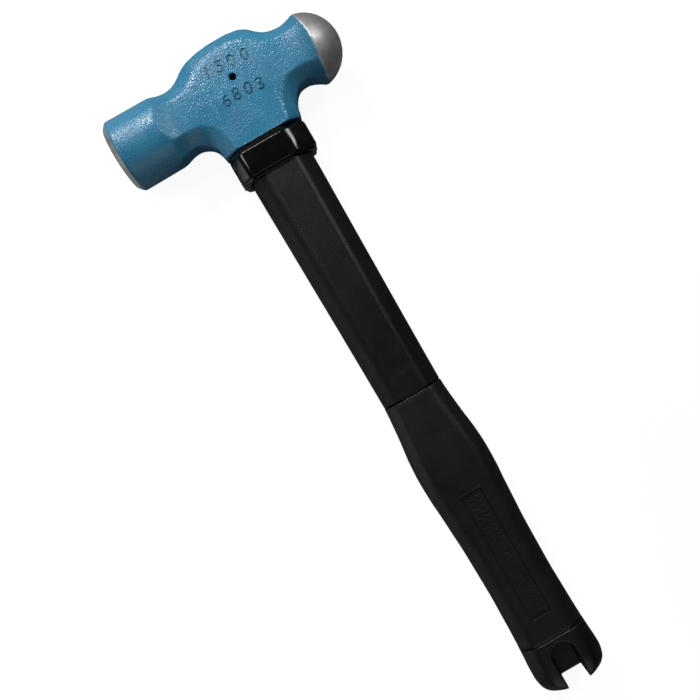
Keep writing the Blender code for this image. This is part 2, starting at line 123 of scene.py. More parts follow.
SLEEVE_HALF_WIDTH = in_mm([
    (-118.8, 15.6), (-100.7, 15.6), (-66.5, 15.2), (-42.8, 14.9), (-19.9, 14.6), (17.1, 14.3),
])
GRIP_HALF_WIDTH = in_mm([
    (16.7, 14.4), (20.9, 14.6), (25.6, 15), (34.8, 15.9), (43.7, 17), (53.2, 17.5), (62.7, 17.3),
    (71.2, 16.7), (80.8, 16.2), (90.2, 15.7), (99.8, 15.5), (114.9, 15.3), (126.3, 15.5), (135.8, 15.7),
    (144.4, 16.1), (155.8, 16.7),
])
GRIP_HALF_THICKNESS = in_mm([
    (16.7, 12.2), (25.6, 12.3), (53.2, 13), (80.8, 12.4), (114, 12), (135.8, 12.2), (155.8, 12.6),
])
BUTT_END = in_mm([
    (155.8, 0), (157.5, 0.15), (159.1, 0.5), (160.4, 0.85), (161.5, 1.3), (162.5, 1.95), (163.4, 2.7),
    (164.2, 3.6), (164.8, 4.6), (165.35, 5.6), (165.8, 6.6), (166.1, 7.8), (166.2, 8.9),
])


def spline(points, at):
    """Height at one place of a smooth curve through (place, height) points, flat beyond its ends."""
    if at <= points[0][0]:
        return points[0][1]
    if at >= points[-1][0]:
        return points[-1][1]
    index = max(i for i, point in enumerate(points) if point[0] <= at)
    (x0, y0), (x1, y1) = points[index], points[index + 1]

    def slope(i):
        if i == 0 or i == len(points) - 1:
            return 0.0
        left = (points[i][1] - points[i - 1][1]) / (points[i][0] - points[i - 1][0])
        right = (points[i + 1][1] - points[i][1]) / (points[i + 1][0] - points[i][0])
        return 0.0 if left * right <= 0 else 2 * left * right / (left + right)

    step = x1 - x0
    t = (at - x0) / step
    rise = (3 - 2 * t) * t * t
    return (
        y0 * (1 - rise) + y1 * rise
        + step * slope(index) * t * (1 - t) ** 2
        - step * slope(index + 1) * t * t * (1 - t)
    )


# --- modelling helpers ----------------------------------------------------------------------------------

def select_only(obj):
    bpy.ops.object.select_all(action="DESELECT")
    obj.select_set(True)
    bpy.context.view_layer.objects.active = obj


def apply_modifier(obj, kind, **settings):
    select_only(obj)
    bpy.ops.object.modifier_add(type=kind)
    modifier = obj.modifiers[-1]
    for name, value in settings.items():
        setattr(modifier, name, value)
    bpy.ops.object.modifier_apply(modifier=modifier.name)


def cut(obj, cutter, operation="DIFFERENCE"):
    apply_modifier(obj, "BOOLEAN", object=cutter, operation=operation, solver="EXACT")
    if not obj.data.vertices:
        raise RuntimeError(f"{cutter.name} left nothing of {obj.name}")
    bpy.data.objects.remove(cutter)


def smooth(obj, degrees=35):
    select_only(obj)
    bpy.ops.object.shade_smooth_by_angle(angle=math.radians(degrees))


def sweep(name, rings):
    """Grows a body ring by ring: a filled circle, extruded once for each section and shaped to it."""
    bpy.ops.object.select_all(action="DESELECT")
    bpy.ops.mesh.primitive_circle_add(vertices=len(rings[0]), radius=POLL_RADIUS, fill_type="NGON")
    obj = bpy.context.object
    obj.name = name
    bpy.ops.object.mode_set(mode="EDIT")
    for number, ring in enumerate(rings):
        if number:
            bpy.ops.mesh.extrude_region_move()
        work = bmesh.from_edit_mesh(obj.data)
        end_face = next(face for face in work.faces if face.select)
        for vert, point in zip(end_face.verts, ring):
            vert.co = point
        bmesh.update_edit_mesh(obj.data)
    bpy.ops.mesh.select_all(action="SELECT")
    bpy.ops.mesh.normals_make_consistent(inside=False)
    bpy.ops.object.mode_set(mode="OBJECT")
    return obj


def octagon(half_width, half_thickness, bevel, ball_side_bevel=None):
    """Corners of a rectangle whose own corners are cut, with a wider cut towards the ball if it is given."""
    corners = []
    for sy, sz in ((1, 1), (-1, 1), (-1, -1), (1, -1)):
        across = ball_side_bevel if ball_side_bevel and sy > 0 else bevel
        side = Vector((sy * half_width, sz * (half_thickness - bevel)))
        front = Vector((sy * (half_width - across), sz * half_thickness))
        corners += [side, front] if sy * sz > 0 else [front, side]
    return corners


def rounded(corners, radii, steps):
    """(y, z) points round a polygon whose corners are rounded, each by its own radius."""
    points = []
    for i, (corner, radius) in enumerate(zip(corners, radii)):
        before = (corners[i - 1] - corner).normalized()
        after = (corners[(i + 1) % len(corners)] - corner).normalized()
        half_angle = before.angle(after) / 2
        centre = corner + (before + after).normalized() * radius / math.sin(half_angle)
        start = corner + before * radius / math.tan(half_angle) - centre
        turn = math.pi - 2 * half_angle
        for k in range(steps):
            points.append(centre + Matrix.Rotation(turn * k / (steps - 1), 2) @ start)
    return points


def rounded_octagon(half_width, half_thickness, bevel, radius, steps=6):
    return rounded(octagon(half_width, half_thickness, bevel), [radius] * 8, steps)


def at(x, section):
    """Places a section's (y, z) points about the handle's axis, at one distance along the hammer."""
    return [(x, AXIS_Y + y, MID_Z + z) for y, z in section]


def bar(name, x_start, x_end, width, thickness, bevel, radius):
    section = rounded_octagon(width / 2, thickness / 2, bevel, radius)
    return sweep(name, [at(x, section) for x in (x_start, x_end)])


def round_ring(place, radius, along, centre, steps):
    """A circle of points across X or Y at one place on it, about a centre point."""
    ring = []
    for k in range(steps):
        angle = 2 * math.pi * k / steps
        across, up = radius * math.cos(angle), radius * math.sin(angle)
        if along == "X":
            ring.append((place, centre.y + across, centre.z + up))
        else:
            ring.append((centre.x + across, place, centre.z + up))
    return ring


def finish_piece(obj, slot, *nodes):
    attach(obj, "root")
    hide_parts(*nodes)


def evenly(start, end, step):
    count = max(2, round((end - start) / step) + 1)
    return [start + (end - start) * k / (count - 1) for k in range(count)]


# --- materials ------------------------------------------------------------------------------------------

def ramp(tree, source, low, high, low_value, high_value):
    """A smooth step of a node's value from one value to another, between two readings of the source."""
    node = tree.nodes.new("ShaderNodeMapRange")
    node.interpolation_type = "SMOOTHSTEP"
    ends = {"From Min": low, "From Max": high, "To Min": low_value, "To Max": high_value}
    for name, value in ends.items():
        node.inputs[name].default_value = value
    tree.links.new(source, node.inputs["Value"])
    return node.outputs["Result"]


class Finish:
    """A node material built on one Principled shader, with short ways to add texture nodes."""

    def __init__(self, name, roughness, metallic=0.0):
        self.material = bpy.data.materials.new(name)
        self.material.use_nodes = True
        self.tree = self.material.node_tree
        self.shader = self.tree.nodes["Principled BSDF"]
        self.shader.inputs["Roughness"].default_value = roughness
        self.shader.inputs["Metallic"].default_value = metallic
        self.place = self.tree.nodes.new("ShaderNodeTexCoord").outputs["Object"]

    def link(self, source, target):
        self.tree.links.new(source, target)

    def grain(self, scale, detail=2.0, stretch=None):
        place = self.place
        if stretch:
            mapping = self.tree.nodes.new("ShaderNodeMapping")
            mapping.inputs["Scale"].default_value = stretch
            self.link(place, mapping.inputs["Vector"])
            place = mapping.outputs["Vector"]
        node = self.tree.nodes.new("ShaderNodeTexNoise")
        node.inputs["Scale"].default_value = scale
        node.inputs["Detail"].default_value = detail
        self.link(place, node.inputs["Vector"])
        return node.outputs["Fac"]

    def attribute(self, name):
        node = self.tree.nodes.new("ShaderNodeAttribute")
        node.attribute_name = name
        return node.outputs["Fac"]

    def add(self, one, two):
        node = self.tree.nodes.new("ShaderNodeMath")
        self.link(one, node.inputs[0])
        self.link(two, node.inputs[1])
        return node.outputs[0]

    def ramp(self, *limits):
        return ramp(self.tree, *limits)

    def blend(self, factor, low, high):
        """Mixes two colours, or two numbers, each a value or a socket."""
        node = self.tree.nodes.new("ShaderNodeMix")
        colour = not isinstance(low, (int, float)) and (isinstance(low, tuple) or low.type == "RGBA")
        node.data_type = "RGBA" if colour else "FLOAT"
        ends = (node.inputs[6], node.inputs[7]) if colour else (node.inputs[2], node.inputs[3])
        self.link(factor, node.inputs[0])
        for end, value in zip(ends, (low, high)):
            if isinstance(value, bpy.types.NodeSocket):
                self.link(value, end)
            elif colour:
                end.default_value = (*value[:3], 1.0)
            else:
                end.default_value = value
        return node.outputs[2] if colour else node.outputs[0]

    def bump(self, height, distance, after=None):
        node = self.tree.nodes.new("ShaderNodeBump")
        node.inputs["Strength"].default_value = 1.0
        node.inputs["Distance"].default_value = distance
        self.link(height, node.inputs["Height"])
        if after:
            self.link(after, node.inputs["Normal"])
        return node.outputs["Normal"]

    def use(self, **sockets):
        for name, source in sockets.items():
            self.link(source, self.shader.inputs[name.replace("_", " ")])
        return self.material


def painted_head_finish(colours):
    """Blue hammered paint where the attribute `bare` is negative, and ground steel elsewhere."""
    finish = Finish("head_paint_and_steel", 0.4)
    ragged = finish.ramp(finish.grain(900), 0.3, 0.7, -0.08, 0.08)
    edge = finish.add(finish.attribute("bare"), ragged)
    bare = finish.ramp(edge, -0.06, 0.06, 0.0, 1.0)
    patches = finish.ramp(finish.grain(60, 3.0), 0.35, 0.65, 0.0, 1.0)
    paint = finish.blend(patches, tuple(colours.paint), tuple(colours.paint_light))
    # Darkens the paint in the stamped figures by their depth: partly paint pooled in them, partly painted shade
    # in their recesses.
    pooled_paint_and_shade = finish.ramp(finish.attribute("pooled_paint_and_shade"), 0.1, 1.0, 0.0, 0.6)
    paint = finish.blend(pooled_paint_and_shade, paint, tuple(0.35 * c for c in colours.paint))
    clouds = finish.grain(150, 4.0, stretch=(1.0, 0.45, 1.0))
    cloudy = finish.ramp(clouds, 0.35, 0.68, 0.0, 1.0)
    steel = finish.blend(cloudy, tuple(colours.steel), tuple(colours.steel_light))
    colour = finish.blend(bare, paint, steel)
    glossy = finish.ramp(finish.grain(75, 3.0), 0.4, 0.62, 0.34, 0.17)
    steel_roughness = finish.ramp(clouds, 0.3, 0.7, 0.66, 0.5)
    roughness = finish.blend(bare, glossy, steel_roughness)
    pebbles = finish.blend(bare, finish.grain(1250, 1.5), 0.5)
    normal = finish.bump(pebbles, 0.00026)
    rings = finish.blend(bare, 0.5, finish.grain(1.0, 4.0, stretch=(40, 2600, 40)))
    normal = finish.bump(rings, 0.00002, after=normal)
    return finish.use(Base_Color=colour, Roughness=roughness, Metallic=bare, Normal=normal)


def steel_finish(name, colour, roughness, stretch):
    """Bare steel with fine lines, drawn out along the axis that is stretched least."""
    finish = Finish(name, roughness, 1.0)
    lines = finish.grain(1.0, 4.0, stretch=stretch)
    darker = tuple(0.72 * c for c in colour[:3])
    tone = finish.blend(lines, darker, tuple(colour))
    gloss = finish.ramp(finish.grain(200), 0.3, 0.7, roughness - 0.06, roughness + 0.08)
    return finish.use(Base_Color=tone, Roughness=gloss, Normal=finish.bump(lines, 0.00004))


def moulded_finish(name, colour, roughness, grain_depth, shine=0.5):
    """Black moulding: fine pebbled grain, a faint cloudy bloom and slightly uneven gloss."""
    finish = Finish(name, roughness)
    finish.shader.inputs["Specular IOR Level"].default_value = shine
    clouds = finish.ramp(finish.grain(38, 4.0), 0.35, 0.72, 0.0, 1.0)
    tone = finish.blend(clouds, tuple(colour), tuple(1.5 * c for c in colour[:3]))
    gloss = finish.ramp(finish.grain(90, 3.0), 0.3, 0.7, roughness - 0.03, roughness + 0.04)
    pebbles = finish.bump(finish.grain(1500, 2.0), grain_depth)
    waves = finish.bump(finish.grain(60, 2.0), 0.00016, after=pebbles)
    return finish.use(Base_Color=tone, Roughness=gloss, Normal=waves)


def gloss_finish(colours):
    """Glossy black moulding with a slight ripple."""
    finish = Finish("gloss_black", 0.14)
    gloss = finish.ramp(finish.grain(160, 3.0), 0.35, 0.7, 0.1, 0.2)
    tone = finish.blend(finish.grain(60), tuple(colours.collar), tuple(1.6 * c for c in colours.collar[:3]))
    waves = finish.bump(finish.grain(160, 2.0), 0.00006)
    return finish.use(Base_Color=tone, Roughness=gloss, Normal=waves)


def give(obj, material):
    """Puts one material in all of an object's slots."""
    if not obj.material_slots:
        obj.data.materials.append(material)
    for slot in obj.material_slots:
        slot.material = material


# --- what a user may change -----------------------------------------------------------------------------

def length_property(name, description, default):
    return bpy.props.FloatProperty(
        name=name, description=description, default=default, subtype="DISTANCE", unit="LENGTH"
    )


def colour_property(name, description, default):
    return bpy.props.FloatVectorProperty(
        name=name, description=description, default=default, subtype="COLOR", min=0.0, max=1.0
    )


class HammerSizes(bpy.types.PropertyGroup):
    poll_radius: length_property("Poll radius", "Radius of the striking end", POLL_RADIUS)
    ball_radius: length_property("Ball radius", "Radius of the ball", 17.5 * MM)
    forging_voxel: length_property("Forging detail", "Mesh size of the forged head", 0.5 * MM)
    paint_edge: length_property("Paint edge", "Bare steel left behind the striking face", 3.4 * MM)
    stamp_height: length_property("Stamp height", "Height of the stamped figures", 5.6 * MM)
    stamp_depth: length_property("Stamp depth", "Depth of the stamped figures", 0.45 * MM)
    panel_depth: length_property("Panel depth", "Depth of the grip's long panel", 0.7 * MM)
    rib_height: length_property("Rib height", "Height of the ribs in the grip's panel", 0.35 * MM)
    slot_width: length_property("Slot width", "Width of the slot in the butt", 10.8 * MM)


class HammerColours(bpy.types.PropertyGroup):
    paint: colour_property("Paint", "Blue paint of the head", (0.036, 0.21, 0.365))
    paint_light: colour_property("Paint, light", "Lighter patches of the paint", (0.045, 0.24, 0.4))
    steel: colour_property("Steel", "Bare steel of the ball and face", (0.42, 0.415, 0.42))
    steel_light: colour_property("Steel, light", "Brighter patches of the bare steel", (0.62, 0.62, 0.625))
    collar: colour_property("Collar", "Glossy black of the collar", (0.0015, 0.0015, 0.0016))
    handle: colour_property("Handle", "Satin black of the mouldings", (0.0032, 0.0032, 0.0034))
    floor: colour_property("Floor", "Pale floor", (0.93, 0.93, 0.93))


# --- head -----------------------------------------------------------------------------------------------

# How far each facet is bowed out from flat towards round, as (place in mm, share of the way)
FRONT_BOW = [(-46.5, 0.75), (-40, 0.5), (-32, 0.15), (-24, 0.07), (24, 0.07), (31, 0.2), (37, 0.6), (42, 0.85)]
TOP_BOW = [(-46.5, 0.8), (-38, 0.5), (-26, 0.3), (-12, 0.28), (14, 0.28), (26, 0.35), (36, 0.6), (42, 0.85)]
SIDE_BOW = [(-46.5, 0.5), (-38, 0.25), (-26, 0.08), (-19, 0.0), (19, 0.0), (26, 0.08), (36, 0.35), (42, 0.6)]
FACET_STEPS = 4
BLANK_START, BLANK_END = -46.5 * MM, 45.6 * MM


def forging_corners(y):
    """Points round the forging's section, as (x, z) about the head axis: eight corners and bowed facets."""
    corners = [Vector(corner) for corner in facet_corners(y)]
    front, top, side = (spline([(a * MM, b) for a, b in bow], y) for bow in (FRONT_BOW, TOP_BOW, SIDE_BOW))
    points = []
    for k, bow in enumerate((side, front, top, top, top, front, side, side)):
        one, two = corners[k], corners[(k + 1) % 8]
        for step in range(FACET_STEPS):
            share = step / FACET_STEPS
            point = one.lerp(two, share)
            radius = one.length * (1 - share) + two.length * share
            points.append(point * (1 + bow * (radius / point.length - 1)))
    return points


def facet_corners(y):
    """The eight (x, z) corners of the forging's section, from the skirt's front round to its back."""
    top, skirt = spline(TOP_OUTLINE, y), spline(SKIRT_OUTLINE, y)
    top_front, skirt_front = spline(TOP_FRONT_EDGE, y), spline(SKIRT_FRONT_EDGE, y)
    cheek, top_side = spline(CHEEK_OUTLINE, y), spline(TOP_SIDE_HALF, y)
    skirt_side = cheek * SKIRT_SIDE_SHARE
    if abs(y) <= SKIRT_HALF_WIDTH:
        skirt_side = spline(SKIRT_SIDE_HALF, y)
    return [
        (skirt, skirt_side), (skirt_front, cheek), (-top_front, cheek), (-top, top_side),
        (-top, -top_side), (-top_front, -cheek), (skirt_front, -cheek), (skirt, -skirt_side),
    ]


def forging_blank():
    """The faceted forging, with its rings set closer where the skirt's corners are tight."""
    places = evenly(BLANK_START, -23 * MM, 0.9 * MM) + evenly(-22.6 * MM, -12 * MM, 0.35 * MM)
    places += evenly(-11 * MM, 12.2 * MM, 1.2 * MM) + evenly(12.5 * MM, 23.2 * MM, 0.35 * MM)
    places += evenly(24 * MM, BLANK_END, 0.9 * MM)
    places = [FACE_Y - 2 * MM] + places + [BALL_POLE_Y + 2 * MM]
    return sweep("forging", [
        [(HEAD_X + x, AXIS_Y + y, MID_Z + z) for x, z in forging_corners(y)] for y in places
    ])


# The turned ends: a crowned face with a chamfer, a slightly tapered poll, and the ball
FACE_FLAT_RADIUS = 3.8 * MM
FACE_EDGE_RADIUS = 14.8 * MM
FACE_CROWN_RADIUS = 85.5 * MM
FACE_CHAMFER_LENGTH = 2.5 * MM
POLL_BACK_RADIUS = 17.2 * MM
POLL_BACK, BALL_BACK = -31.8 * MM, 32.1 * MM
FACE_CROWN = (FACE_EDGE_RADIUS**2 - FACE_FLAT_RADIUS**2) / (2 * FACE_CROWN_RADIUS)
CHAMFER_END = FACE_Y + FACE_CROWN + FACE_CHAMFER_LENGTH
TURNED_X = HEAD_X - 0.4 * MM
TURNED_STEPS = 96
WIDE_OPEN = 38 * MM
POLISH_MARGIN = 1 * MM
POLISH_BLEND = 0.7 * MM


def turned_profile(sizes):
    """(radius, place) points of the poll's and ball's round outline, wide open between them."""
    ball_centre = BALL_POLE_Y - sizes.ball_radius
    profile = []
    for radius in evenly(0.5 * MM, FACE_EDGE_RADIUS, 0.9 * MM):
        beyond = max(radius, FACE_FLAT_RADIUS)
        crown = (beyond**2 - FACE_FLAT_RADIUS**2) / (2 * FACE_CROWN_RADIUS)
        profile.append((radius, FACE_Y + crown))
    profile += [(sizes.poll_radius, CHAMFER_END), (POLL_BACK_RADIUS, POLL_BACK)]
    profile += [(WIDE_OPEN, POLL_BACK), (WIDE_OPEN, BALL_BACK)]
    start = math.acos((BALL_BACK - ball_centre) / sizes.ball_radius)
    for angle in np.linspace(start, 0.02, 44):
        profile.append((sizes.ball_radius * math.sin(angle), ball_centre + sizes.ball_radius * math.cos(angle)))
    return profile


EYE_SIZE = (26 * MM, 14.2 * MM)
SEAT_SIZE = (28.4 * MM, 16 * MM)
EYE_BEVEL, EYE_CORNER = 2.8 * MM, 1.1 * MM
FITTING_GAP = 0.3 * MM


def cut_eye(head):
    """The eye, and the lock plate's seat at its top."""
    seat = plate_high.x + FITTING_GAP
    cut(head, bar("eye", seat - 1 * MM, head_high.x + 2 * MM, *EYE_SIZE, EYE_BEVEL, EYE_CORNER))
    cut(head, bar("seat", head_low.x - 2 * MM, seat, *SEAT_SIZE, EYE_BEVEL, EYE_CORNER))


def cut_pin_hole(head):
    radius = (pin_high.x - pin_low.x) / 2 + FITTING_GAP
    bpy.ops.object.select_all(action="DESELECT")
    bpy.ops.mesh.primitive_cylinder_add(
        vertices=64, radius=radius, depth=4 * POLL_RADIUS, location=PIN_CENTRE
    )
    cut(head, bpy.context.object)


def polygon_reach(corners, direction):
    """Distance from the head axis to the forging's faceted outline in each direction."""
    reach = np.full(len(direction), np.inf)
    count = corners.shape[1]
    for k in range(count):
        one, two = corners[:, k], corners[:, (k + 1) % count]
        edge = two - one
        across = direction[:, 0] * edge[:, 1] - direction[:, 1] * edge[:, 0]
        along = one[:, 0] * edge[:, 1] - one[:, 1] * edge[:, 0]
        with np.errstate(divide="ignore", invalid="ignore"):
            distance = along / across
        reach = np.where((distance > 0) & (distance < reach), distance, reach)
    return reach


def places_about_axis(mesh):
    """The mesh's points about the turned axis of poll and ball."""
    points = np.empty(len(mesh.vertices) * 3)
    mesh.vertices.foreach_get("co", points)
    return points.reshape(-1, 3) - np.array([TURNED_X, AXIS_Y, MID_Z])


def forging_reach(local):
    """Distance from the turned axis to the forging's outline, in the direction of each point."""
    across = np.hypot(local[:, 0], local[:, 2])
    direction = local[:, [0, 2]] / np.maximum(across, 1e-6)[:, None]
    places = np.linspace(FACE_Y, BALL_POLE_Y, 500)
    table = np.array([forging_corners(y) for y in places])
    table[:, :, 0] += HEAD_X - TURNED_X
    corners = np.empty((len(local), table.shape[1], 2))
    for k in range(table.shape[1]):
        for axis in range(2):
            corners[:, k, axis] = np.interp(local[:, 1], places, table[:, k, axis])
    return polygon_reach(corners, direction)


def ball_outline(y, sizes):
    return np.sqrt(np.maximum(sizes.ball_radius**2 - (y - BALL_POLE_Y + sizes.ball_radius) ** 2, 0))


def soften_top(head):
    """Smooths the cheeks' upper edges further than the crisp ones towards the handle."""
    local = places_about_axis(head.data)
    upward = np.clip((-local[:, 0] / MM - 4) / 8, 0, 1)
    between = np.clip((26 - np.abs(local[:, 1]) / MM) / 8, 0, 1)
    sides = np.clip((np.abs(local[:, 2]) / MM - 7.5) / 2, 0, 1)
    group = head.vertex_groups.new(name="top")
    weights = upward * between * sides
    for index in np.flatnonzero(weights > 0.01):
        group.add([int(index)], float(weights[index]), "REPLACE")
    apply_modifier(head, "SMOOTH", factor=0.5, iterations=70, vertex_group="top")
    head.vertex_groups.clear()


def polish_turned_ends(head, sizes):
    """Puts the poll and the ball back on their exact round outline after the smoothing."""
    mesh = head.data
    local = places_about_axis(mesh)
    across = np.hypot(local[:, 0], local[:, 2])
    faceted = forging_reach(local)
    depth = np.clip((local[:, 1] - CHAMFER_END) / (POLL_BACK - CHAMFER_END), 0, 1)
    poll = sizes.poll_radius + (POLL_BACK_RADIUS - sizes.poll_radius) * depth
    on_poll = (local[:, 1] > CHAMFER_END + 1.5 * MM) & (local[:, 1] < POLL_BACK)
    on_poll &= across > poll - POLISH_MARGIN
    share = np.clip((faceted - poll) / POLISH_BLEND, 0, 1) * on_poll
    local[:, [0, 2]] *= (1 + (poll / np.maximum(across, 1e-6) - 1) * share)[:, None]
    centre = np.array([0, BALL_POLE_Y - sizes.ball_radius, 0])
    reach = np.maximum(np.linalg.norm(local - centre, axis=1), 1e-6)
    on_ball = (local[:, 1] > BALL_BACK) & (reach > sizes.ball_radius - POLISH_MARGIN)
    share = np.clip((faceted - ball_outline(local[:, 1], sizes)) / POLISH_BLEND, 0, 1) * on_ball
    local = centre + (local - centre) * (1 + (sizes.ball_radius / reach - 1) * share)[:, None]
    mesh.vertices.foreach_set("co", (local + np.array([TURNED_X, AXIS_Y, MID_Z])).ravel())
    mesh.update()


def mark_finishes(head, unstamped, sizes):
    """Stores where the steel is bare, and how deep each point of the stamped figures lies, which darkens the
    paint there: partly paint pooled in them, partly painted shade in their recesses.
    """
    local = places_about_axis(head.data)
    beyond = (forging_reach(local) - ball_outline(local[:, 1], sizes)) / MM + 0.1
    bare_ball = np.where(local[:, 1] > BALL_BACK, beyond, -5)
    bare_face = (FACE_Y + sizes.paint_edge - local[:, 1]) / MM
    stamped = (np.abs(local[:, 1]) < 15 * MM) & (np.abs(local[:, 0]) < 14 * MM) & (local[:, 2] > 10 * MM)
    from_pin = np.hypot(local[:, 0] + TURNED_X - PIN_CENTRE.x, local[:, 1] + AXIS_Y - PIN_CENTRE.y)
    # Depth below the unstamped surface, share of the stamp depth: darkens the figures as pooled paint and as
    # painted shade in the recesses.
    pooled_paint_and_shade = np.zeros(len(local))
    for index in np.flatnonzero(stamped & (from_pin > 2.2 * MM)):
        below = unstamped.find_nearest(head.data.vertices[index].co)[3]
        pooled_paint_and_shade[index] = below / sizes.stamp_depth
    for name, values in (("bare", np.maximum(bare_ball, bare_face)), ("pooled_paint_and_shade", pooled_paint_and_shade)):
        head.data.attributes.new(name, "FLOAT", "POINT").data.foreach_set("value", values)


# (figure, place below the head axis, place along it, turn in degrees)
STAMPED_FIGURES = (
    ("1", -10.1, -7.6, -7), ("5", -10.0, -1.6, -9), ("0", -9.6, 4.4, -5), ("0", -9.0, 10.8, -10),
    ("6", 5.0, -6.4, -8), ("8", 4.7, -1.0, -5), ("0", 4.9, 4.7, -10), ("3", 5.8, 10.4, -7),
)
SIZE_PER_HEIGHT = 1.45
STROKE_GROWTH = 0.12 * MM


def surface_of(obj):
    work = bmesh.new()
    work.from_mesh(obj.data)
    tree = BVHTree.FromBMesh(work)
    work.free()
    return tree


def stamp_figures(head, surface, sizes):
    """Cuts plain figures one by one into the front cheek, each set slightly askew by hand."""
    for figure, x, y, turn in STAMPED_FIGURES:
        bpy.ops.object.select_all(action="DESELECT")
        bpy.ops.object.text_add()
        text = bpy.context.object
        text.data.body = figure
        text.data.size = sizes.stamp_height * SIZE_PER_HEIGHT
        text.data.align_x, text.data.align_y = "CENTER", "CENTER"
        text.data.extrude = sizes.stamp_depth
        text.data.offset = STROKE_GROWTH
        text.data.resolution_u = 6
        bpy.ops.object.convert(target="MESH")
        text = bpy.context.object
        above = Vector((HEAD_X + x * MM, AXIS_Y + y * MM, MID_Z + 30 * MM))
        place, normal = surface.ray_cast(above, Vector((0, 0, -1)))[:2]
        lean = Vector((0, 0, 1)).rotation_difference(normal).to_matrix().to_4x4()
        text.data.transform(
            Matrix.Translation(place) @ lean @ Matrix.Rotation(math.radians(90 + turn), 4, "Z")
        )
        cut(head, text)


class HAMMER_OT_forge_head(bpy.types.Operator):
    """Forge, turn, stamp and paint the head"""
    bl_idname = "hammer.forge_head"
    bl_label = "Forge Head"

    def execute(self, context):
        sizes = context.scene.hammer_sizes
        head = forging_blank()
        centre = Vector((TURNED_X, 0, MID_Z))
        turned = sweep("turned_ends", [
            round_ring(AXIS_Y + place, radius, "Y", centre, TURNED_STEPS)
            for radius, place in turned_profile(sizes)
        ])
        cut(head, turned, "INTERSECT")
        cut_eye(head)
        apply_modifier(head, "REMESH", mode="VOXEL", voxel_size=sizes.forging_voxel)
        apply_modifier(head, "SMOOTH", factor=0.5, iterations=10)
        soften_top(head)
        polish_turned_ends(head, sizes)
        cut_pin_hole(head)
        unstamped = surface_of(head)
        stamp_figures(head, unstamped, sizes)
        mark_finishes(head, unstamped, sizes)
        head.name = "hammer_head"
        smooth(head)
        give(head, painted_head_finish(context.scene.hammer_colours))
        finish_piece(head, "blue_paint", "head")
        return {"FINISHED"}


# --- eye fittings ---------------------------------------------------------------------------------------

def turned_bar(name, centre, profile, steps=48):
    """A round piece turned about X through (place, radius) points."""
    return sweep(name, [round_ring(place, radius, "X", centre, steps) for place, radius in profile])


class HAMMER_OT_fit_eye(bpy.types.Operator):
    """Make the lock plate, the riveted rods and the cross pin"""
    bl_idname = "hammer.fit_eye"
    bl_label = "Fit Eye"

    def execute(self, context):
        colours = context.scene.hammer_colours
        bright = steel_finish("rod_steel", tuple(colours.steel_light), 0.34, (400, 60, 60))
        plate_steel = steel_finish("plate_steel", tuple(colours.steel), 0.42, (60, 900, 60))
        dark = steel_finish("dark_pin_steel", (0.02, 0.02, 0.022), 0.5, (500, 500, 60))
        size = plate_high - plate_low
        section = rounded_octagon(size.y / 2, size.z / 2, EYE_BEVEL, EYE_CORNER)
        rings = []
        for depth, inset in ((0, 0.45), (0.12, 0.2), (0.4, 0), (2.6, 0)):
            share = 1 - inset * MM / (size.z / 2)
            x = min(plate_low.x + depth * MM, plate_high.x)
            rings.append([(x, AXIS_Y + y * share, MID_Z + z * share) for y, z in section])
        plate = sweep("lock_plate", rings)
        for number in range(1, 5):
            low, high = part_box(f"core_rod_{number}")
            centre = (low + high) / 2
            head_radius = (high.z - low.z) / 2
            shank = head_radius - 0.8 * MM
            bore = shank + FITTING_GAP
            cut(plate, turned_bar("hole", centre, [(low.x - 1 * MM, bore), (low.x + 9 * MM, bore)]))
            profile = [
                (low.x, 0.4 * MM), (low.x + 0.05 * MM, 1.2 * MM), (low.x + 0.2 * MM, 2 * MM),
                (low.x + 0.45 * MM, 2.6 * MM), (low.x + 0.75 * MM, head_radius),
                (low.x + 1.2 * MM, head_radius), (low.x + 1.21 * MM, shank),
                (high.x - 0.4 * MM, shank), (high.x, shank - 0.4 * MM),
            ]
            rod = turned_bar(f"riveted_rod_{number}", centre, profile)
            smooth(rod, 40)
            give(rod, bright)
            finish_piece(rod, "bare_steel", f"core_rod_{number}")
        smooth(plate)
        give(plate, plate_steel)
        finish_piece(plate, "bare_steel", "head_lock_plate")
        bpy.ops.object.select_all(action="DESELECT")
        bpy.ops.mesh.primitive_cylinder_add(
            vertices=48, radius=(pin_high.x - pin_low.x) / 2, depth=pin_high.z - pin_low.z, location=PIN_CENTRE
        )
        pin = context.object
        bpy.ops.object.transform_apply(location=True, rotation=False, scale=False)
        pin.name = "eye_pin"
        apply_modifier(pin, "BEVEL", width=0.3 * MM, segments=3, limit_method="ANGLE")
        smooth(pin)
        give(pin, dark)
        finish_piece(pin, "bare_steel", "cross_pin")
        return {"FINISHED"}


# --- collar ---------------------------------------------------------------------------------------------

COLLAR_BEVEL = 5.6 * MM
COLLAR_BALL_SIDE_BEVEL = 9.3 * MM
# Radius of each corner of the section, from the ball side's front round to its back
COLLAR_CORNERS = [radius * MM for radius in (2.4, 9.0, 5.0, 5.0, 5.0, 5.0, 9.0, 2.4)]
# (distance from the head end, side inset, front inset) in millimetres
COLLAR_SHOULDER = (
    (0.0, 1.15, 1.25), (0.1, 1.05, 1.15), (2.15, 0.26, 0.1), (2.23, 0.21, 0.055), (2.32, 0.16, 0.02),
    (2.42, 0.12, 0.0), (2.7, 0.05, 0.0), (3.1, 0.0, 0.0),
)
# (distance from the handle end, side inset, front inset) in millimetres
COLLAR_LIP = (
    (2.0, 0.0, 0.0), (1.7, 0.05, 0.04), (1.45, 0.2, 0.16), (1.3, 0.5, 0.4), (1.2, 0.85, 0.68),
    (1.05, 0.95, 0.75), (0.6, 0.95, 0.75), (0.3, 1.02, 0.82), (0.1, 1.15, 0.92), (0.0, 1.3, 1.05),
)


